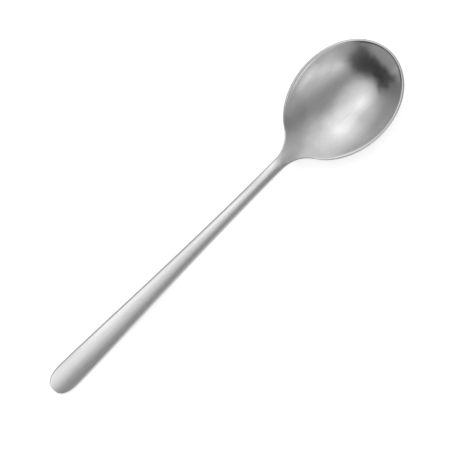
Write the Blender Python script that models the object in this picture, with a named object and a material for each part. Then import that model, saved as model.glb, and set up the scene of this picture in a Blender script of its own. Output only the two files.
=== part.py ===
"""A dessert spoon, one piece of stainless steel, lying on its back on a table.

It is shaped as a cutler shapes it: the plan outline is cut, the blank is rolled to its
thicknesses, the edges are rounded over, the bowl is pressed hollow and the neck is bent up.

Metres, +Z up. +X runs along the spoon from the handle's end to the bowl's tip, and the spoon
is the same on both sides of Y = 0. The origin is on the table, halfway along the spoon.
"""

import math

import bmesh
import bpy

# Plan outline
SPOON_LENGTH = 0.1800
BOWL_LENGTH = 0.0510
BOWL_WIDTH = 0.0391
BOWL_SWELL = 0.030
NECK_WIDTH = 0.0048
NECK_FILLET = 0.0134
HANDLE_WIDTH = 0.01035
HANDLE_CAP = 0.0085
CAP_FULLNESS = 2.5
TAPER_EASE_AT_CAP = 0.0130
TAPER_EASE_AT_NECK = 0.0500

# Thicknesses above and below the line where the section is widest
HANDLE_EDGE = 0.0005
HANDLE_CROWN = 0.0007
HANDLE_UNDER = 0.0012
NECK_EDGE = 0.0005
NECK_CROWN = 0.0006
NECK_UNDER = 0.0019
RIM_EDGE = 0.0008
RIM_UNDER = 0.0006

# Edges
EDGE_ROUND = 0.0008
RIM_ROUND = 0.0007
UNDER_ROUND = 0.0016
SHOULDER = 0.0155

# Pressed bowl
BOWL_DEPTH = 0.0090
BOWL_FLOOR = 0.0016
BOWL_TILT = 0.08
RIM_WIDTH = 0.0009
BOWL_CURVE = 2.35
RUNOUT_INSIDE = 0.0090
RUNOUT_UNDER = 0.0080
RIM_SOFTNESS = 0.03

# Side profile
REST_LENGTH = 0.0160
NECK_RISE = 0.0044
CREST_BEFORE_NECK = 0.0085
RISE_EASE_AT_REST = 0.0300
RISE_EASE_AT_CREST = 0.0240
DROP_EASE_AT_RIM = 0.0150

# Mesh density
CAP_STEPS = 9
TAPER_STEPS = 35
FILLET_STEPS = 10
BOWL_STEPS = 40
TOP_STEPS = 13
UNDER_STEPS = 11
SOLVE_STEPS = 50

# Places that follow from the sizes
TIP_X = SPOON_LENGTH / 2
END_X = -SPOON_LENGTH / 2
BOWL_HALF_LENGTH = BOWL_LENGTH / 2
BOWL_HALF_WIDTH = BOWL_WIDTH / 2
BOWL_X = TIP_X - BOWL_HALF_LENGTH
CAP_X = END_X + HANDLE_CAP
REST_X = END_X + REST_LENGTH
UNDER_DEPTH = BOWL_FLOOR + BOWL_DEPTH - RIM_EDGE - RIM_UNDER
TIP_LIFT = BOWL_TILT * BOWL_HALF_LENGTH

# The tilt moves the bowl's lowest place toward the neck, and the rim is raised to keep it on the table
LOW_SHARE = (TIP_LIFT / (BOWL_CURVE * UNDER_DEPTH)) ** (1 / (BOWL_CURVE - 1))
RIM_HEIGHT = RIM_UNDER + UNDER_DEPTH + TIP_LIFT * LOW_SHARE * (1 - 1 / BOWL_CURVE)
CREST_HEIGHT = RIM_HEIGHT + NECK_RISE

# Easing that gives the neck's crest one curvature on both sides
DROP_EASE_AT_CREST = RISE_EASE_AT_CREST * math.sqrt(NECK_RISE / (CREST_HEIGHT - HANDLE_UNDER))

STEEL_COLOUR = (0.60, 0.60, 0.61, 1.0)
STEEL_ROUGHNESS = 0.32


def mix(first, second, share):
    return first + (second - first) * share


def smooth_step(value):
    value = min(max(value, 0.0), 1.0)
    return value * value * (3 - 2 * value)


def bezier(a, b, c, d, share):
    """One coordinate of a cubic Bezier curve."""
    rest = 1 - share
    return a * rest**3 + 3 * b * rest**2 * share + 3 * c * rest * share**2 + d * share**3


def root(function, low, high):
    """Where a function that rises or falls steadily from low to high passes zero."""
    rising = function(high) > function(low)
    for _ in range(SOLVE_STEPS):
        middle = (low + high) / 2
        if (function(middle) > 0) == rising:
            high = middle
        else:
            low = middle
    return (low + high) / 2


def s_curve(x, start, start_ease, end, end_ease):
    """Height at x of a Bezier curve that leaves its start level and arrives at its end level."""
    if x <= start[0]:
        return start[1]
    if x >= end[0]:
        return end[1]
    along = (start[0], start[0] + start_ease, end[0] - end_ease, end[0])
    share = root(lambda s: bezier(*along, s) - x, 0.0, 1.0)
    return bezier(start[1], start[1], end[1], end[1], share)


def bowl_edge(angle):
    """One place on the bowl's outline, at an angle from the tip: edge x, edge y, foot x.

    The outline is an oval that swells toward the tip. The foot is where the line square to the
    edge meets Y = 0.
    """
    along = math.cos(angle)
    widening = 1 + BOWL_SWELL * along
    lean = along + BOWL_SWELL * math.cos(2 * angle)
    x = BOWL_X + BOWL_HALF_LENGTH * along
    foot = x - BOWL_HALF_WIDTH**2 / BOWL_HALF_LENGTH * widening * lean
    return x, BOWL_HALF_WIDTH * math.sin(angle) * widening, foot


def fillet_centre(angle):
    """Centre of a neck fillet that touches the bowl's outline at an angle from the tip."""
    x, y, foot = bowl_edge(angle)
    away = NECK_FILLET / math.hypot(x - foot, y)
    return x + (x - foot) * away, y + y * away


FILLET_Y = NECK_WIDTH / 2 + NECK_FILLET
SHOULDER_ANGLE = root(lambda angle: fillet_centre(angle)[1] - FILLET_Y, math.pi / 2, math.pi)
NECK_X = fillet_centre(SHOULDER_ANGLE)[0]
CREST_X = NECK_X - CREST_BEFORE_NECK


def stations():
    """Places along one side of the outline: edge x, edge y, and the x where its ray meets Y = 0."""
    places = []
    blunt = 2 / CAP_FULLNESS
    cap_foot = 1 - (HANDLE_WIDTH / 2 / HANDLE_CAP) ** 2
    for step in range(CAP_STEPS):
        angle = math.pi / 2 * step / CAP_STEPS
        back = HANDLE_CAP * math.cos(angle) ** blunt
        places.append((CAP_X - back, HANDLE_WIDTH / 2 * math.sin(angle) ** blunt, CAP_X - back * cap_foot))
    for step in range(TAPER_STEPS):
        share = step / TAPER_STEPS
        x = bezier(CAP_X, CAP_X + TAPER_EASE_AT_CAP, NECK_X - TAPER_EASE_AT_NECK, NECK_X, share)
        y = bezier(HANDLE_WIDTH / 2, HANDLE_WIDTH / 2, NECK_WIDTH / 2, NECK_WIDTH / 2, share)
        places.append((x, y, x))
    touch_x, touch_y, touch_foot = bowl_edge(SHOULDER_ANGLE)
    turn = math.atan2(touch_x - NECK_X, FILLET_Y - touch_y)
    for step in range(FILLET_STEPS):
        share = step / FILLET_STEPS
        x = NECK_X + NECK_FILLET * math.sin(turn * share)
        y = FILLET_Y - NECK_FILLET * math.cos(turn * share)
        places.append((x, y, mix(NECK_X, touch_foot, share)))
    for step in range(BOWL_STEPS + 1):
        places.append(bowl_edge(SHOULDER_ANGLE * (1 - step / BOWL_STEPS)))
    return places


def bowl_share(x):
    """0 on the handle and neck, 1 in the bowl."""
    return smooth_step((x - NECK_X) / SHOULDER)


def along_spoon(x, at_handle, at_neck, at_rim):
    """A size that tapers from the handle's end to the neck, and changes again into the bowl."""
    taper = s_curve(x, (REST_X, at_handle), TAPER_EASE_AT_CAP, (NECK_X, at_neck), TAPER_EASE_AT_NECK)
    return mix(taper, at_rim, bowl_share(x))


def side_profile(x):
    """Height above the table of the line where the section is widest."""
    if x < CREST_X:
        rest, crest = (REST_X, HANDLE_UNDER), (CREST_X, CREST_HEIGHT)
        return s_curve(x, rest, RISE_EASE_AT_REST, crest, RISE_EASE_AT_CREST)
    crest, rim = (CREST_X, CREST_HEIGHT), (NECK_X + SHOULDER, RIM_HEIGHT)
    level = s_curve(x, crest, DROP_EASE_AT_CREST, rim, DROP_EASE_AT_RIM)
    return level + BOWL_TILT * bowl_share(x) * (x - BOWL_X)


def pressed(x, y, inset, runout, softness):
    """Share of the full bowl depth at a place: 1 at the middle, 0 outside the pressed oval.

    On the neck's side the oval runs out past its end in a smooth ramp.
    """
    half_length = BOWL_HALF_LENGTH - inset
    reach = 1 + runout / half_length
    ramp = 1.5 * (reach - 1 / reach)
    along = max((x - BOWL_X) / half_length, -reach)
    across = y / (BOWL_HALF_WIDTH - inset) / (1 + BOWL_SWELL * along)
    past = max(ramp - reach - along, 0.0)
    radius_squared = along**2 - 2 * reach / (3 * ramp**2) * past**3 + across**2
    depth = 1 - radius_squared ** (BOWL_CURVE / 2)
    softness *= bowl_share(x)
    return (depth + math.hypot(depth, softness)) / 2


def rounding(inset, reach):
    """Height of a quarter-round edge, from 0 at the edge to 1 at its reach."""
    left = 1 - min(inset / reach, 1.0)
    return math.sqrt(1 - left * left)


def top_height(x, y, share, inset, reach):
    edge = along_spoon(x, HANDLE_EDGE, NECK_EDGE, RIM_EDGE) * rounding(inset, reach)
    crown = along_spoon(x, HANDLE_CROWN, NECK_CROWN, 0.0) * (1 - (1 - share) ** 2)
    hollow = BOWL_DEPTH * pressed(x, y, RIM_WIDTH, RUNOUT_INSIDE, RIM_SOFTNESS)
    return side_profile(x) + edge + crown - hollow


def under_height(x, y, inset, reach):
    below = along_spoon(x, HANDLE_UNDER, NECK_UNDER, RIM_UNDER) * rounding(inset, reach)
    bulge = UNDER_DEPTH * pressed(x, y, 0.0, RUNOUT_UNDER, 0.0)
    return side_profile(x) - below - bulge


def section(edge_x, edge_y, foot_x):
    """One ray of the half spoon: over the top from the middle to the edge, and back underneath."""
    ray = math.hypot(edge_x - foot_x, edge_y)
    top_reach = mix(EDGE_ROUND, RIM_ROUND, bowl_share(edge_x))
    under_reach = along_spoon(edge_x, UNDER_ROUND, NECK_WIDTH / 2, RIM_ROUND)
    points = []
    for step in range(TOP_STEPS + 1):
        share = 1 - math.sin(math.pi / 2 * step / TOP_STEPS)
        x, y = mix(edge_x, foot_x, share), edge_y * (1 - share)
        points.append((x, y, top_height(x, y, share, ray * share, top_reach)))
    for step in range(1, UNDER_STEPS + 1):
        share = 1 - math.cos(math.pi / 2 * step / UNDER_STEPS)
        x, y = mix(edge_x, foot_x, share), edge_y * (1 - share)
        points.append((x, y, under_height(x, y, ray * share, under_reach)))
    return points


def steel():
    material = bpy.data.materials.new("satin_steel")
    material.use_nodes = True
    shader = material.node_tree.nodes["Principled BSDF"]
    shader.inputs["Base Color"].default_value = STEEL_COLOUR
    shader.inputs["Metallic"].default_value = 1.0
    shader.inputs["Roughness"].default_value = STEEL_ROUGHNESS
    return material


def spoon():
    """The whole spoon: one half wrapped from a flat grid, and mirrored."""
    rays = [section(*place) for place in stations()]
    columns = len(rays[0])
    shape = bmesh.new()
    bmesh.ops.create_grid(shape, x_segments=columns - 1, y_segments=len(rays) - 1, size=1.0)
    shape.verts.ensure_lookup_table()
    for row, ray in enumerate(rays):
        for column, point in enumerate(ray):
            shape.verts[row * columns + column].co = point
    bmesh.ops.reverse_faces(shape, faces=shape.faces)
    mesh = bpy.data.meshes.new("spoon")
    shape.to_mesh(mesh)
    shape.free()
    mesh.shade_smooth()
    mesh.materials.append(steel())
    body = bpy.data.objects.new("spoon", mesh)
    bpy.context.scene.collection.objects.link(body)
    mirror = body.modifiers.new("both_sides", "MIRROR")
    mirror.use_axis = (False, True, False)
    mirror.merge_threshold = 0.00001
    return body


for old in list(bpy.data.objects):
    bpy.data.objects.remove(old)
spoon()
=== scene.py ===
# %% [markdown]
# # A satin steel dessert spoon
#
# The spoon lies on its back on a white table and is seen from straight above. It is one piece of
# stainless steel, so the whole lesson is about one smooth form and one finish: how a flat blank
# becomes a spoon by a few rules, and how a satin metal shows the room that it lies in.

# %% Load the solid model as a fixed frame
import math

import bpy
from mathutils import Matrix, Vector
from mathutils.bvhtree import BVHTree


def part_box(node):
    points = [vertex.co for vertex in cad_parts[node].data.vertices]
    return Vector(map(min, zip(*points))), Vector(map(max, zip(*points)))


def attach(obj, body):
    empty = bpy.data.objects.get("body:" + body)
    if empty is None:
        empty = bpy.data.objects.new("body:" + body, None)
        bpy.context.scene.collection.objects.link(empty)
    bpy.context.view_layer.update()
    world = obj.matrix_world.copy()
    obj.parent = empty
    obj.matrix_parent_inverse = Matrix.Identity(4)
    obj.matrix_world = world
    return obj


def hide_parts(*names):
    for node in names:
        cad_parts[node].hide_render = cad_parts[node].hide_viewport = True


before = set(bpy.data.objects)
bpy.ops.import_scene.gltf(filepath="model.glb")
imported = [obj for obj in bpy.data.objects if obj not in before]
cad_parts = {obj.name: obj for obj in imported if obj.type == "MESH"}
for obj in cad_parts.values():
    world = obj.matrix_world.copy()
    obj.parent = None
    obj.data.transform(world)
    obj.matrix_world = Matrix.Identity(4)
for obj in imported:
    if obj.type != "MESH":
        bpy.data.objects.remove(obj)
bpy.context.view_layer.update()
low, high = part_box("spoon")
print("solid spoon, mm:", [round(1000 * side, 2) for side in high - low])

# %% [markdown]
# ## Two helpers for node trees
#
# Every tree below is made by one small function that adds a node, sets its options and feeds its
# inputs. A formula such as `1 - a * a` would still take many lines that way, so a `Field` wraps an
# output socket and lets plain arithmetic add the Math nodes.


# %% Node helpers
def add(tree, kind, inputs=None, **options):
    """Add a node, set its options, and feed its inputs with values, links or three fields in one."""
    node = tree.nodes.new(kind)
    for name, value in options.items():
        setattr(node, name, value)
    for name, value in (inputs or {}).items():
        if isinstance(value, tuple) and any(isinstance(part, Field) for part in value):
            value = add(tree, "ShaderNodeCombineXYZ", dict(enumerate(value))).outputs[0]
        value = value.socket if isinstance(value, Field) else value
        if isinstance(value, bpy.types.NodeSocket):
            tree.links.new(value, node.inputs[name])
        else:
            node.inputs[name].default_value = value
    return node


class Field:
    """A number that varies over a surface. Arithmetic on it adds Math nodes to its tree."""

    def __init__(self, socket):
        self.socket = socket

    def math(self, operation, *terms):
        """A Math node on the given terms, or on this field alone."""
        terms = dict(enumerate(terms or (self,)))
        return Field(add(self.socket.id_data, "ShaderNodeMath", terms, operation=operation).outputs[0])

    def __add__(self, other):
        return self.math("ADD", self, other)

    def __sub__(self, other):
        return self.math("SUBTRACT", self, other)

    def __mul__(self, other):
        return self.math("MULTIPLY", self, other)

    def __truediv__(self, other):
        return self.math("DIVIDE", self, other)

    def __pow__(self, other):
        return self.math("POWER", self, other)

    def __radd__(self, other):
        return self.math("ADD", other, self)

    def __rsub__(self, other):
        return self.math("SUBTRACT", other, self)

    def __rmul__(self, other):
        return self.math("MULTIPLY", other, self)

    def __rtruediv__(self, other):
        return self.math("DIVIDE", other, self)

    def __neg__(self):
        return self.math("MULTIPLY", self, -1.0)

    def at_least(self, other):
        return self.math("MAXIMUM", self, other)

    def at_most(self, other):
        return self.math("MINIMUM", self, other)

    def mixed(self, other, share):
        """This value where the share is 0, and the other where it is 1."""
        return self + (other - self) * share


# %% [markdown]
# ## The sizes
#
# These are the spoon's own sizes, in metres. Only the overall length is read from the solid: the
# others shape curves that a box doesn't show. The neck's fillet has to touch the bowl's oval
# without a kink, and the place where it touches is found by halving an interval.

# %% Sizes of the spoon
sizes = {
    "Spoon Length": high.x - low.x,
    "Bowl Width": 0.0391,
    "Bowl Length": 0.0510,
    "Bowl Swell": 0.030,
    "Neck Width": 0.0048,
    "Neck Fillet": 0.0134,
    "Handle Width": 0.01035,
    "Handle Cap": 0.0085,
    "Cap Fullness": 2.5,
    "Taper Ease At Cap": 0.0130,
    "Taper Ease At Neck": 0.0500,
    "Handle Crown": 0.0007,
    "Neck Crown": 0.0006,
    "Handle Edge": 0.0005,
    "Neck Edge": 0.0005,
    "Rim Edge": 0.0008,
    "Handle Under": 0.0012,
    "Neck Under": 0.0019,
    "Rim Under": 0.0006,
    "End Round": 0.0002,
    "Edge Round": 0.0008,
    "Neck Round": 0.0006,
    "Rim Round": 0.0007,
    "Under Round": 0.0016,
    "Rubbed Width": 0.0015,
    "Shoulder": 0.0155,
    "Bowl Depth": 0.0090,
    "Bowl Floor": 0.0016,
    "Bowl Tilt": 0.08,
    "Rim Width": 0.0009,
    "Bowl Curve": 2.35,
    "Runout Inside": 0.0090,
    "Runout Under": 0.0080,
    "Rim Softness": 0.03,
    "Rest Length": 0.0160,
    "Neck Rise": 0.0044,
    "Crest Before Neck": 0.0085,
    "Rise Ease At Rest": 0.0300,
    "Rise Ease At Crest": 0.0240,
    "Drop Ease At Rim": 0.0150,
}
HALVINGS = 50


def bowl_normal(angle):
    """Outward normal in plan of the bowl's oval, at an angle from the tip."""
    along = math.cos(angle) + sizes["Bowl Swell"] * math.cos(2 * angle)
    return Vector((sizes["Bowl Width"] * along, sizes["Bowl Length"] * math.sin(angle))).normalized()


def shoulder_touch():
    """The angle from the tip at which the neck's fillet touches the bowl's oval."""
    early, late = math.pi / 2, math.pi
    for _ in range(HALVINGS):
        angle = (early + late) / 2
        edge_y = sizes["Bowl Width"] / 2 * math.sin(angle) * (1 + sizes["Bowl Swell"] * math.cos(angle))
        fillet_y = edge_y + sizes["Neck Fillet"] * bowl_normal(angle).y
        if fillet_y > sizes["Neck Width"] / 2 + sizes["Neck Fillet"]:
            early = angle
        else:
            late = angle
    return angle


shoulder = shoulder_touch()
shoulder_out = bowl_normal(shoulder)
touch_x = high.x - sizes["Bowl Length"] / 2 * (1 - math.cos(shoulder))
sizes["Shoulder Angle"] = shoulder
sizes["Fillet Turn"] = math.atan2(-shoulder_out.x, shoulder_out.y)
sizes["Touch X"] = touch_x
sizes["Neck X"] = touch_x + sizes["Neck Fillet"] * shoulder_out.x
print("neck starts", round(1000 * (sizes["Neck X"] - low.x), 2), "mm from the handle's end")

# %% [markdown]
# ## The form, by Geometry Nodes
#
# A spoon follows rules. Its plan is a short chain of curves: a half-oval end, a long taper, a round
# shoulder and an oval bowl. From each point of that edge a ray runs square to the edge, in to the
# middle line. Above and below the ray the steel has a thickness, which dies away at the edge in a
# round. The handle's top is crowned a little across its width, the bowl is pushed down as an oval
# hollow, and the whole handle is bent up in side view.
#
# It could be modelled by pulling a subdivided sheet by hand, but then no size could be changed
# afterwards. Here each rule is a few nodes, and each size is a named input.
#
# The bowl's mouth tilts up toward the tip, so the lowest place of its back lies a little behind the
# middle. The rim's height is worked out from that, so that this place touches the table.

# %% The tree and its named inputs
form = bpy.data.node_groups.new("spoon_form", "GeometryNodeTree")
form.interface.new_socket("Geometry", in_out="OUTPUT", socket_type="NodeSocketGeometry")
for name in sizes:
    form.interface.new_socket(name, in_out="INPUT", socket_type="NodeSocketFloat")
group_input = add(form, "NodeGroupInput")
size = {name: Field(group_input.outputs[name]) for name in sizes}

tip_x = size["Spoon Length"] / 2
end_x = -tip_x
cap_x = end_x + size["Handle Cap"]
rest_x = end_x + size["Rest Length"]
neck_x = size["Neck X"]
crest_x = neck_x - size["Crest Before Neck"]
rim_x = neck_x + size["Shoulder"]
bowl_a = size["Bowl Length"] / 2
bowl_b = size["Bowl Width"] / 2
bowl_x = tip_x - bowl_a
handle_half = size["Handle Width"] / 2
neck_half = size["Neck Width"] / 2
under_depth = size["Bowl Floor"] + size["Bowl Depth"] - size["Rim Edge"] - size["Rim Under"]
tip_lift = size["Bowl Tilt"] * bowl_a
bowl_curve = size["Bowl Curve"]
low_share = (tip_lift / (bowl_curve * under_depth)) ** (1.0 / (bowl_curve - 1.0))
rim_height = size["Rim Under"] + under_depth + tip_lift * low_share * (1.0 - 1.0 / bowl_curve)
crest_height = rim_height + size["Neck Rise"]
print("form inputs:", len(size))

# %% [markdown]
# The plan outline is four stretches of points: a blunt half-oval end, a long taper, a round fillet
# and the bowl's oval, which swells a little toward the tip. Three of them start as a plain arc and
# are moved into place by a formula. Each point also keeps its foot: where the ray that leaves the
# edge at a right angle meets the middle line.

# %% Plan outline
CAP_POINTS = 24
TAPER_POINTS = 90
FILLET_POINTS = 34
BOWL_POINTS = 110

position = add(form, "GeometryNodeInputPosition").outputs[0]
place = add(form, "ShaderNodeSeparateXYZ", {0: position})
place_x, place_y = Field(place.outputs[0]), Field(place.outputs[1])


def edge_points(curve, foot, x, y):
    """Points of a curve, each with the foot of its ray, moved to the edge."""
    points = add(form, "GeometryNodeCurveToPoints", {"Curve": curve}, mode="EVALUATED").outputs[0]
    kept_foot = {"Geometry": points, "Name": "foot", "Value": foot}
    kept = add(form, "GeometryNodeStoreNamedAttribute", kept_foot, data_type="FLOAT").outputs[0]
    return add(form, "GeometryNodeSetPosition", {"Geometry": kept, "Position": (x, y, 0.0)}).outputs[0]


def unit_arc(start, sweep, points):
    arc = {"Resolution": points, "Radius": 1.0, "Start Angle": start, "Sweep Angle": sweep}
    return add(form, "GeometryNodeCurveArc", arc).outputs[0]


def level_curve(start, start_ease, end, end_ease, points):
    """A curve that leaves its start along X and arrives at its end along X."""
    ends = {
        "Start": start,
        "Start Handle": (start[0] + start_ease, *start[1:]),
        "End Handle": (end[0] - end_ease, *end[1:]),
        "End": end,
    }
    return add(form, "GeometryNodeCurvePrimitiveBezierSegment", {"Resolution": points, **ends}).outputs[0]


blunt = 2.0 / size["Cap Fullness"]
cap_back = size["Handle Cap"] * place_x.math("ABSOLUTE") ** blunt
cap_foot = cap_x - cap_back * (1.0 - (handle_half / size["Handle Cap"]) ** 2.0)
cap_arc = unit_arc(math.pi, -math.pi / 2, CAP_POINTS)
cap = edge_points(cap_arc, cap_foot, cap_x - cap_back, handle_half * place_y ** blunt)

ease_out, ease_in = size["Taper Ease At Cap"], size["Taper Ease At Neck"]
taper_ends = (cap_x, handle_half, 0.0), (neck_x, neck_half, 0.0)
taper_curve = level_curve(taper_ends[0], ease_out, taper_ends[1], ease_in, TAPER_POINTS)
taper = edge_points(taper_curve, place_x, place_x, place_y)


def bowl_foot(along):
    """Where the ray from the bowl's edge meets the middle line, from the edge's place along the bowl."""
    widening = 1.0 + along * size["Bowl Swell"]
    lean = along + (along * along * 2.0 - 1.0) * size["Bowl Swell"]
    return bowl_x + along * bowl_a - widening * lean * bowl_b * bowl_b / bowl_a


turned = place_x.math("ARCSINE") / size["Fillet Turn"]
fillet_foot = neck_x.mixed(bowl_foot((size["Touch X"] - bowl_x) / bowl_a), turned)
fillet_arc = unit_arc(-math.pi / 2, size["Fillet Turn"], FILLET_POINTS)
fillet_x = neck_x + size["Neck Fillet"] * place_x
fillet = edge_points(fillet_arc, fillet_foot, fillet_x, neck_half + size["Neck Fillet"] * (place_y + 1.0))

bowl_arc = unit_arc(size["Shoulder Angle"], -size["Shoulder Angle"], BOWL_POINTS)
bowl_y = bowl_b * place_y * (1.0 + place_x * size["Bowl Swell"])
bowl = edge_points(bowl_arc, bowl_foot(place_x), bowl_x + bowl_a * place_x, bowl_y)

outline = add(form, "GeometryNodeJoinGeometry")
for stretch in (bowl, fillet, taper, cap):
    form.links.new(stretch, outline.inputs[0])
outline = outline.outputs[0]
print("outline points on each side:", CAP_POINTS + TAPER_POINTS + FILLET_POINTS + BOWL_POINTS)

# %% [markdown]
# Two more sizes change along the spoon by a smooth S: the thickness, from handle to neck, and the
# height in side view. Each is drawn as a curve, pulled out sideways into a ribbon, and read by
# dropping a plumb line on it at the wanted place.

# %% Side profile and taper, read with a plumb line
RIBBON_POINTS = 200
RIBBON_WIDTH = 0.01
PLUMB_HEIGHT = 2.0
JOIN_GAP = 1e-7


def plumb(curves, x):
    """Height of a chain of curves in the XZ plane, straight below or above x."""
    chain = add(form, "GeometryNodeJoinGeometry")
    for one in curves:
        form.links.new(one, chain.inputs[0])
    edges = add(form, "GeometryNodeCurveToMesh", {"Curve": chain.outputs[0]})
    edges = add(form, "GeometryNodeMergeByDistance", {"Geometry": edges.outputs[0], "Distance": JOIN_GAP})
    sideways = add(form, "FunctionNodeInputVector", vector=(0.0, RIBBON_WIDTH, 0.0)).outputs[0]
    pull = {"Mesh": edges.outputs[0], "Offset": sideways, "Offset Scale": 1.0}
    ribbon = add(form, "GeometryNodeExtrudeMesh", pull, mode="EDGES")
    ray = {"Source Position": (x, RIBBON_WIDTH / 2, PLUMB_HEIGHT), "Ray Direction": (0.0, 0.0, -1.0)}
    ray |= {"Target Geometry": ribbon.outputs[0], "Ray Length": 2 * PLUMB_HEIGHT}
    hit = add(form, "GeometryNodeRaycast", ray).outputs["Hit Position"]
    return Field(add(form, "ShaderNodeSeparateXYZ", {0: hit}).outputs[2])


def level_line(start_x, end_x, height):
    ends = {"Start": (start_x, 0.0, height), "End": (end_x, 0.0, height)}
    return add(form, "GeometryNodeCurvePrimitiveLine", ends).outputs[0]


MARGIN = 0.01
rest, crest = (rest_x, 0.0, size["Handle Under"]), (crest_x, 0.0, crest_height)
rim = (rim_x, 0.0, rim_height)
crest_share = (size["Neck Rise"] / (crest_height - size["Handle Under"])) ** 0.5
drop_ease = size["Rise Ease At Crest"] * crest_share
profile_chain = [
    level_line(end_x - MARGIN, rest_x, size["Handle Under"]),
    level_curve(rest, size["Rise Ease At Rest"], crest, size["Rise Ease At Crest"], RIBBON_POINTS),
    level_curve(crest, drop_ease, rim, size["Drop Ease At Rim"], RIBBON_POINTS),
    level_line(rim_x, tip_x + MARGIN, rim_height),
]
taper_chain = [
    level_line(end_x - MARGIN, rest_x, 0.0),
    level_curve((rest_x, 0.0, 0.0), ease_out, (neck_x, 0.0, 1.0), ease_in, RIBBON_POINTS),
    level_line(neck_x, tip_x + MARGIN, 1.0),
]
print("profile curves:", len(profile_chain), "taper curves:", len(taper_chain))

# %% [markdown]
# Now a flat grid is wrapped into half a spoon. One side of the grid runs along the outline, the
# other runs over the top from the middle line to the edge and back underneath. All heights are
# formulas of the place in plan, so the steel is smooth wherever the formulas are.
#
# The crown lies across the handle and simply stops at the handle's end, where the punch cut it off,
# so the edge there is sharper than along the sides. Each point also keeps how near it is to the
# edge, for the finish.

# %% Half a spoon from a flat grid
COLUMNS = 81
# The underside begins just past the edge, which is half of the way round
UNDER_FROM = 0.5001

row_count = add(form, "GeometryNodeAttributeDomainSize", {0: outline}, component="POINTCLOUD").outputs[0]
grid = add(form, "GeometryNodeMeshGrid", {"Vertices X": COLUMNS, "Vertices Y": row_count}).outputs[0]
around = place_x + 0.5
row = ((place_y + 0.5) * (Field(row_count) - 1.0)).math("ROUND")
edge_value = {"Geometry": outline, "Value": position, "Index": row}
edge = add(form, "GeometryNodeSampleIndex", edge_value, data_type="FLOAT_VECTOR", domain="POINT")
edge = add(form, "ShaderNodeSeparateXYZ", {0: edge.outputs[0]})
edge_x, edge_y = Field(edge.outputs[0]), Field(edge.outputs[1])
named_foot = add(form, "GeometryNodeInputNamedAttribute", {"Name": "foot"}, data_type="FLOAT").outputs[0]
foot_value = {"Geometry": outline, "Value": named_foot, "Index": row}
foot = add(form, "GeometryNodeSampleIndex", foot_value, data_type="FLOAT", domain="POINT")
foot_x = Field(foot.outputs[0])

inward = 1.0 - (around * math.pi).math("SINE")
under = around.math("GREATER_THAN", around, UNDER_FROM)
x = edge_x.mixed(foot_x, inward)
y = edge_y * (1.0 - inward)
ray = ((edge_x - foot_x) ** 2.0 + edge_y ** 2.0) ** 0.5


def in_bowl(place):
    """0 on the handle and neck, 1 in the bowl."""
    reach = {"Value": place, "From Min": neck_x, "From Max": rim_x}
    return Field(add(form, "ShaderNodeMapRange", reach, interpolation_type="SMOOTHSTEP").outputs[0])


taper_share = plumb(taper_chain, x)
bowl_share = in_bowl(x)
at_handle = size["Handle Edge"].mixed(size["Handle Under"], under)
at_neck = size["Neck Edge"].mixed(size["Neck Under"], under)
at_rim = size["Rim Edge"].mixed(size["Rim Under"], under)
thickness = at_handle.mixed(at_neck, taper_share).mixed(at_rim, bowl_share)
from_end = ((edge_x - end_x) / size["Handle Cap"]).at_most(1.0)
side_round = size["Edge Round"].mixed(size["Neck Round"], taper_share)
round_reach = size["End Round"].mixed(side_round, from_end)
round_reach = round_reach.mixed(size["Under Round"].mixed(neck_half, taper_share), under)
round_reach = round_reach.mixed(size["Rim Round"], in_bowl(edge_x))
edge_left = 1.0 - (ray * inward / round_reach).at_most(1.0)
rounding = (1.0 - edge_left * edge_left) ** 0.5
crown = size["Handle Crown"].mixed(size["Neck Crown"], taper_share) * (1.0 - bowl_share) * (1.0 - under)
in_cap = edge_x.math("LESS_THAN", edge_x, cap_x)
crown = crown * (1.0 - (y / edge_y.at_least(handle_half * in_cap)) ** 2.0)

# The pressed oval, which runs out into the neck in a smooth ramp
inset = size["Rim Width"] * (1.0 - under)
runout = size["Runout Inside"].mixed(size["Runout Under"], under)
softness = size["Rim Softness"] * (1.0 - under) * bowl_share
press_a = bowl_a - inset
reach = 1.0 + runout / press_a
ramp = (reach - 1.0 / reach) * 1.5
along = ((x - bowl_x) / press_a).at_least(-reach)
across = y / (bowl_b - inset) / (1.0 + along * size["Bowl Swell"])
past = (ramp - along - reach).at_least(0.0)
radius_squared = along * along - past ** 3.0 * reach / (ramp * ramp) * (2 / 3) + across * across
dip = 1.0 - radius_squared ** (bowl_curve / 2)
pressed = (dip + (dip * dip + softness * softness) ** 0.5) / 2
press_depth = size["Bowl Depth"].mixed(under_depth, under)
lifted = plumb(profile_chain, x) + bowl_share * size["Bowl Tilt"] * (x - bowl_x)
height = lifted + thickness * rounding * (1.0 - under * 2.0) + crown - press_depth * pressed

rubbed = 1.0 - (ray * inward / size["Rubbed Width"]).at_most(1.0)
rubbed = {"Geometry": grid, "Name": "rubbed", "Value": rubbed}
grid = add(form, "GeometryNodeStoreNamedAttribute", rubbed, data_type="FLOAT").outputs[0]
half = add(form, "GeometryNodeSetPosition", {"Geometry": grid, "Position": (x, y, height)}).outputs[0]
print("points round each half section:", COLUMNS)

# %% [markdown]
# The other half is the same grid, mirrored. Mirroring turns faces inside out, so the half that was
# not mirrored is the one that is flipped. The seam along the middle line is welded.
#
# The mesh also gets a UV map, because a brushed finish needs to know which way the brush went: its
# U runs along the spoon. Some height is added to both, so that upright faces keep a U and a V.

# %% Both halves, welded
WELD = 0.000002
UPRIGHT_SHARE = 0.3

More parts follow.
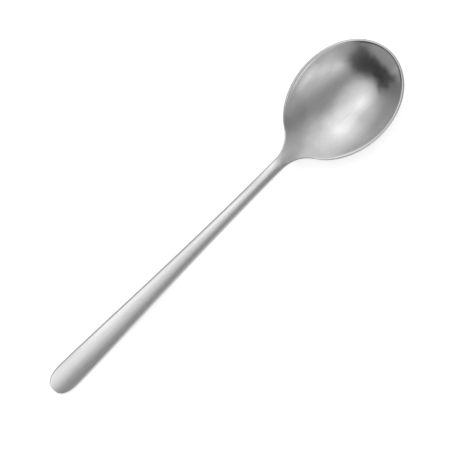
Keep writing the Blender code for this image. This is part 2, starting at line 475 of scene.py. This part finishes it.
mirrored = add(form, "GeometryNodeTransform", {"Geometry": half, "Scale": (1.0, -1.0, 1.0)}).outputs[0]
flipped = add(form, "GeometryNodeFlipFaces", {"Mesh": half}).outputs[0]
both = add(form, "GeometryNodeJoinGeometry")
form.links.new(mirrored, both.inputs[0])
form.links.new(flipped, both.inputs[0])
welded = add(form, "GeometryNodeMergeByDistance", {"Geometry": both.outputs[0], "Distance": WELD})
upright = Field(place.outputs[2]) * UPRIGHT_SHARE
lengthwise = (place_x + upright, place_y + upright, 0.0)
brushed = {"Geometry": welded.outputs[0], "Name": "brushing", "Value": lengthwise}
brushed = add(form, "GeometryNodeStoreNamedAttribute", brushed, data_type="FLOAT2", domain="CORNER")
smooth = add(form, "GeometryNodeSetShadeSmooth", {"Geometry": brushed.outputs[0]})
real = add(form, "GeometryNodeRealizeInstances", {"Geometry": smooth.outputs[0]})
set_steel = add(form, "GeometryNodeSetMaterial", {"Geometry": real.outputs[0]})
add(form, "NodeGroupOutput", {"Geometry": set_steel.outputs[0]})
print("form nodes:", len(form.nodes))

# %% [markdown]
# ## The finish
#
# The spoon is stainless steel, satin finished: after pressing, it is brushed along its length with
# fine abrasive. That leaves hair-fine lines side by side. Reflections stay in place but lose their
# edges, and a little more across the lines than along them. Fingers, cloths and other cutlery rub
# the edges first, so the rim and the sides of the handle are smoother and shine a little more.
#
# The grey is nearly even, because steel has no pigment. The lines change the roughness, the relief
# and, faintly, the grey, and a cloudiness as wiping leaves it changes the grey too.

# %% Satin-brushed stainless steel


def linear(hex_colour):
    """A hex colour as screens show it, turned into the light that it stands for."""
    channels = [int(hex_colour[i : i + 2], 16) / 255 for i in (1, 3, 5)]
    light = [c / 12.92 if c <= 0.04045 else ((c + 0.055) / 1.055) ** 2.4 for c in channels]
    return (*light, 1.0)


# Lines of a real satin finish are about 0.03 mm wide. These are drawn ten times as wide, which is
# one pixel of the picture, so that they just show.
LINE_WIDTH = 0.0003
LINE_LENGTH = 0.008
LINE_DEPTH = 0.000004
CLOUD_SIZE = 0.015
LINE_SHARE = 0.7
RUBBED_GLOSS = 0.4
SMOOTHEST = 0.16
ROUGHEST = 0.20
STRETCH = 0.6
QUARTER_TURN = 0.25

steel = bpy.data.materials.new("satin_brushed_stainless_steel")
steel.use_nodes = True
finish = steel.node_tree
coordinates = add(finish, "ShaderNodeTexCoord").outputs["Object"]
brush = {"Vector": coordinates, "Scale": (1 / LINE_LENGTH, 1 / LINE_WIDTH, 1 / LINE_WIDTH)}
brush = add(finish, "ShaderNodeMapping", brush).outputs[0]
lines = add(finish, "ShaderNodeTexNoise", {"Vector": brush, "Scale": 1.0, "Detail": 2.0}).outputs[0]
cloud = {"Vector": coordinates, "Scale": 1 / CLOUD_SIZE, "Detail": 2.0}
cloud = add(finish, "ShaderNodeTexNoise", cloud).outputs[0]

steel_shader = finish.nodes["Principled BSDF"]
steel_shader.inputs["Metallic"].default_value = 1.0
steel_shader.inputs["Anisotropic"].default_value = STRETCH
steel_shader.inputs["Anisotropic Rotation"].default_value = QUARTER_TURN
tangent = add(finish, "ShaderNodeTangent", direction_type="UV_MAP", uv_map="brushing").outputs[0]
tone = Field(cloud).mixed(Field(lines), LINE_SHARE).socket
shade = {0: tone, 6: linear("#BEBEBE"), 7: linear("#D8D8D8")}
shade = add(finish, "ShaderNodeMix", shade, data_type="RGBA").outputs[2]
gloss = {"Value": lines, "From Min": 0.3, "From Max": 0.7, "To Min": SMOOTHEST, "To Max": ROUGHEST}
gloss = Field(add(finish, "ShaderNodeMapRange", gloss).outputs[0])
rubbed = Field(add(finish, "ShaderNodeAttribute", attribute_name="rubbed").outputs["Fac"])
gloss = (gloss * (1.0 - rubbed * RUBBED_GLOSS)).socket
relief = add(finish, "ShaderNodeBump", {"Height": lines, "Distance": LINE_DEPTH}).outputs[0]
steel_inputs = {"Base Color": shade, "Roughness": gloss, "Normal": relief, "Tangent": tangent}
for socket, source in steel_inputs.items():
    finish.links.new(source, steel_shader.inputs[socket])
print("steel:", len(finish.nodes), "nodes")
set_steel.inputs["Material"].default_value = steel

# %% [markdown]
# ## The piece itself
#
# The tree is run once on an empty object, and the result is kept as a plain mesh. It stands for the
# solid spoon, and rides on the only body that there is.

# %% Run the tree and keep the mesh
seed = bpy.data.objects.new("spoon_seed", bpy.data.meshes.new("spoon_seed"))
bpy.context.scene.collection.objects.link(seed)
shaping = seed.modifiers.new("spoon_form", "NODES")
shaping.node_group = form
for item in form.interface.items_tree:
    if item.in_out == "INPUT":
        shaping[item.identifier] = float(sizes[item.name])
bpy.context.view_layer.update()
shaped = seed.evaluated_get(bpy.context.evaluated_depsgraph_get())
mesh = bpy.data.meshes.new_from_object(shaped)
mesh.name = "satin_spoon"
bpy.data.objects.remove(seed)
spoon = bpy.data.objects.new("satin_spoon", mesh)
bpy.context.scene.collection.objects.link(spoon)
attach(spoon, "root")
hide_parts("spoon")

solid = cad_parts["spoon"].data
tree = BVHTree.FromPolygons([v.co for v in solid.vertices], [p.vertices for p in solid.polygons])
apart = [tree.find_nearest(v.co)[3] for v in mesh.vertices]
print("faces:", len(mesh.polygons), "furthest from the solid, mm:", round(1000 * max(apart), 3))

# %% [markdown]
# ## The table
#
# The table is plain white paper, far larger than the view. Lit by this studio it would come out a
# pale grey, so it also glows, but only for the eye and for mirror-like metal. That lifts the open
# paper to white, and the soft shadow under the spoon stays. The metal sees a quarter of the glow:
# what its edges reflect is the paper close under them, which lies in the spoon's own shade.

# %% White paper
TABLE_HALF = 3.0
PAPER = linear("#F2F2F2")
PAPER_GLOW = 0.55
GLOW_IN_METAL = 0.25

table_mesh = bpy.data.meshes.new("table")
corners = [(x * TABLE_HALF, y * TABLE_HALF, 0.0) for x, y in ((-1, -1), (1, -1), (1, 1), (-1, 1))]
table_mesh.from_pydata(corners, [], [range(4)])
table = bpy.data.objects.new("table", table_mesh)
bpy.context.scene.collection.objects.link(table)

white = bpy.data.materials.new("white_paper")
white.use_nodes = True
paper = white.node_tree
ray_kind = add(paper, "ShaderNodeLightPath")
in_metal = Field(ray_kind.outputs["Is Glossy Ray"]) * GLOW_IN_METAL
seen = Field(ray_kind.outputs["Is Camera Ray"]).at_least(in_metal)
paper_shader = paper.nodes["Principled BSDF"]
paper_shader.inputs["Base Color"].default_value = PAPER
paper_shader.inputs["Roughness"].default_value = 0.9
paper_shader.inputs["Emission Color"].default_value = (1.0, 1.0, 1.0, 1.0)
paper.links.new((seen * PAPER_GLOW).socket, paper_shader.inputs["Emission Strength"])
table_mesh.materials.append(white)
print("table, m wide:", 2 * TABLE_HALF)

# %% [markdown]
# ## The studio
#
# Satin steel has hardly any colour of its own. What the eye reads as its shape is the room, bent
# and blurred: each place on the spoon shows one direction of the room. So the light is a grey room
# with a few large soft panels, as a photographer sets them up round a table. The left of the handle
# and the bright tongue in the bowl show the high panels on the left. The bowl's left side shows a
# low window on the right. Black flags behind the handle's end are the dark patch near the tip, and
# the grey strip between that patch and the rim is the low wall on which they stand.
#
# Panels and flags are painted on the world, where each is a soft-edged disc round one direction.
# Lamps would do as well, but their edges would show as lines in the steel. The edges of the flags
# and the wall are ragged, as those of things standing about in a room are.

# %% Soft panels round the table
ROOM = 0.40
# For each: its direction from +X toward +Y and its height over the table in degrees, how far from
# there it begins and stops fading, and the light it gives or, for a flag, the share it takes away
PANELS = {
    "key panel, high on the left of the handle": (140, 65, 0, 35, 0.60),
    "lamp in the key panel": (125, 60, 0, 10, 0.25),
    "wide panel on the left": (85, 50, 15, 45, 0.40),
    "lamp in the wide panel": (70, 50, 0, 20, 0.40),
    "lamp overhead": (25, 75, 0, 20, 0.30),
    "window beyond the tip": (25, 15, 30, 70, 0.50),
    "low window on the right": (250, 0, 25, 60, 0.40),
    "its lower pane": (270, 10, 0, 10, 0.25),
    "its middle pane": (260, 20, 0, 10, 0.25),
    "its upper pane": (245, 30, 0, 10, 0.25),
    "strip of light at the table's right edge": (280, -5, 0, 20, 1.20),
}
FLAGS = {
    "flag behind the handle's end": (195, 20, 20, 40, 0.75),
    "second flag, left of it": (155, 25, 0, 20, 0.80),
    "dark lower part of the room there": (185, -20, 60, 75, 0.35),
    "flag right of the tip": (340, 20, 0, 40, 0.40),
}
LOW_WALL = (180, -30, 50, 55, 0.35)
RAGGED_SIZE = 0.12
RAGGED_DEPTH = 0.25

world = bpy.data.worlds.new("studio")
bpy.context.scene.world = world
world.use_nodes = True
studio = world.node_tree
direction = add(studio, "ShaderNodeTexCoord").outputs["Generated"]
wobble = {"Vector": direction, "Scale": 1 / RAGGED_SIZE, "Detail": 2.0}
wobble = add(studio, "ShaderNodeTexNoise", wobble).outputs["Color"]
wobble = add(studio, "ShaderNodeVectorMath", {0: wobble, 1: (0.5,) * 3}, operation="SUBTRACT").outputs[0]
wobble = {0: wobble, 1: (RAGGED_DEPTH,) * 3, 2: direction}
ragged = add(studio, "ShaderNodeVectorMath", wobble, operation="MULTIPLY_ADD").outputs[0]


def disc(aim, compass, height, inner, outer, strength):
    """Strength of a soft-edged disc of the room, round one direction."""
    compass, height = math.radians(compass), math.radians(height)
    level = math.cos(height)
    toward = (level * math.cos(compass), level * math.sin(compass), math.sin(height))
    facing = add(studio, "ShaderNodeVectorMath", {0: aim, 1: toward}, operation="DOT_PRODUCT")
    fade = {"From Min": math.cos(math.radians(outer)), "From Max": math.cos(math.radians(inner))}
    fade |= {"Value": facing.outputs["Value"], "To Max": strength}
    return Field(add(studio, "ShaderNodeMapRange", fade, interpolation_type="SMOOTHSTEP").outputs[0])


light = ROOM
for panel in PANELS.values():
    light = light + disc(direction, *panel)
for flag in FLAGS.values():
    light = light * (1.0 - disc(ragged, *flag))
light = light + disc(ragged, *LOW_WALL)
studio.links.new(light.socket, studio.nodes["Background"].inputs["Strength"])
studio.nodes["Background"].inputs["Color"].default_value = (1.0, 1.0, 1.0, 1.0)
print("studio:", len(PANELS), "panels and", len(FLAGS), "flags")

# %% [markdown]
# ## The camera
#
# The photograph looks straight down, with the handle's end at the lower left. A long lens keeps
# the view nearly flat, as the photograph is.

# %% Camera over the spoon
LENS = 200.0
VIEW_WIDTH = 0.16935
VIEW_CENTRE = (0.00003, -0.00180, 0.0075)
TURN = -45.03
FARTHEST_SEEN = 10.0

camera_data = bpy.data.cameras.new("camera")
camera = bpy.data.objects.new("camera", camera_data)
bpy.context.scene.collection.objects.link(camera)
bpy.context.scene.camera = camera
camera_data.lens = LENS
camera_data.clip_end = FARTHEST_SEEN
camera.location = VIEW_CENTRE
camera.location.z += VIEW_WIDTH * LENS / camera_data.sensor_width
camera.rotation_euler.z = math.radians(TURN)
bpy.context.scene.view_settings.view_transform = "Standard"
print("camera height, m:", round(camera.location.z, 3))
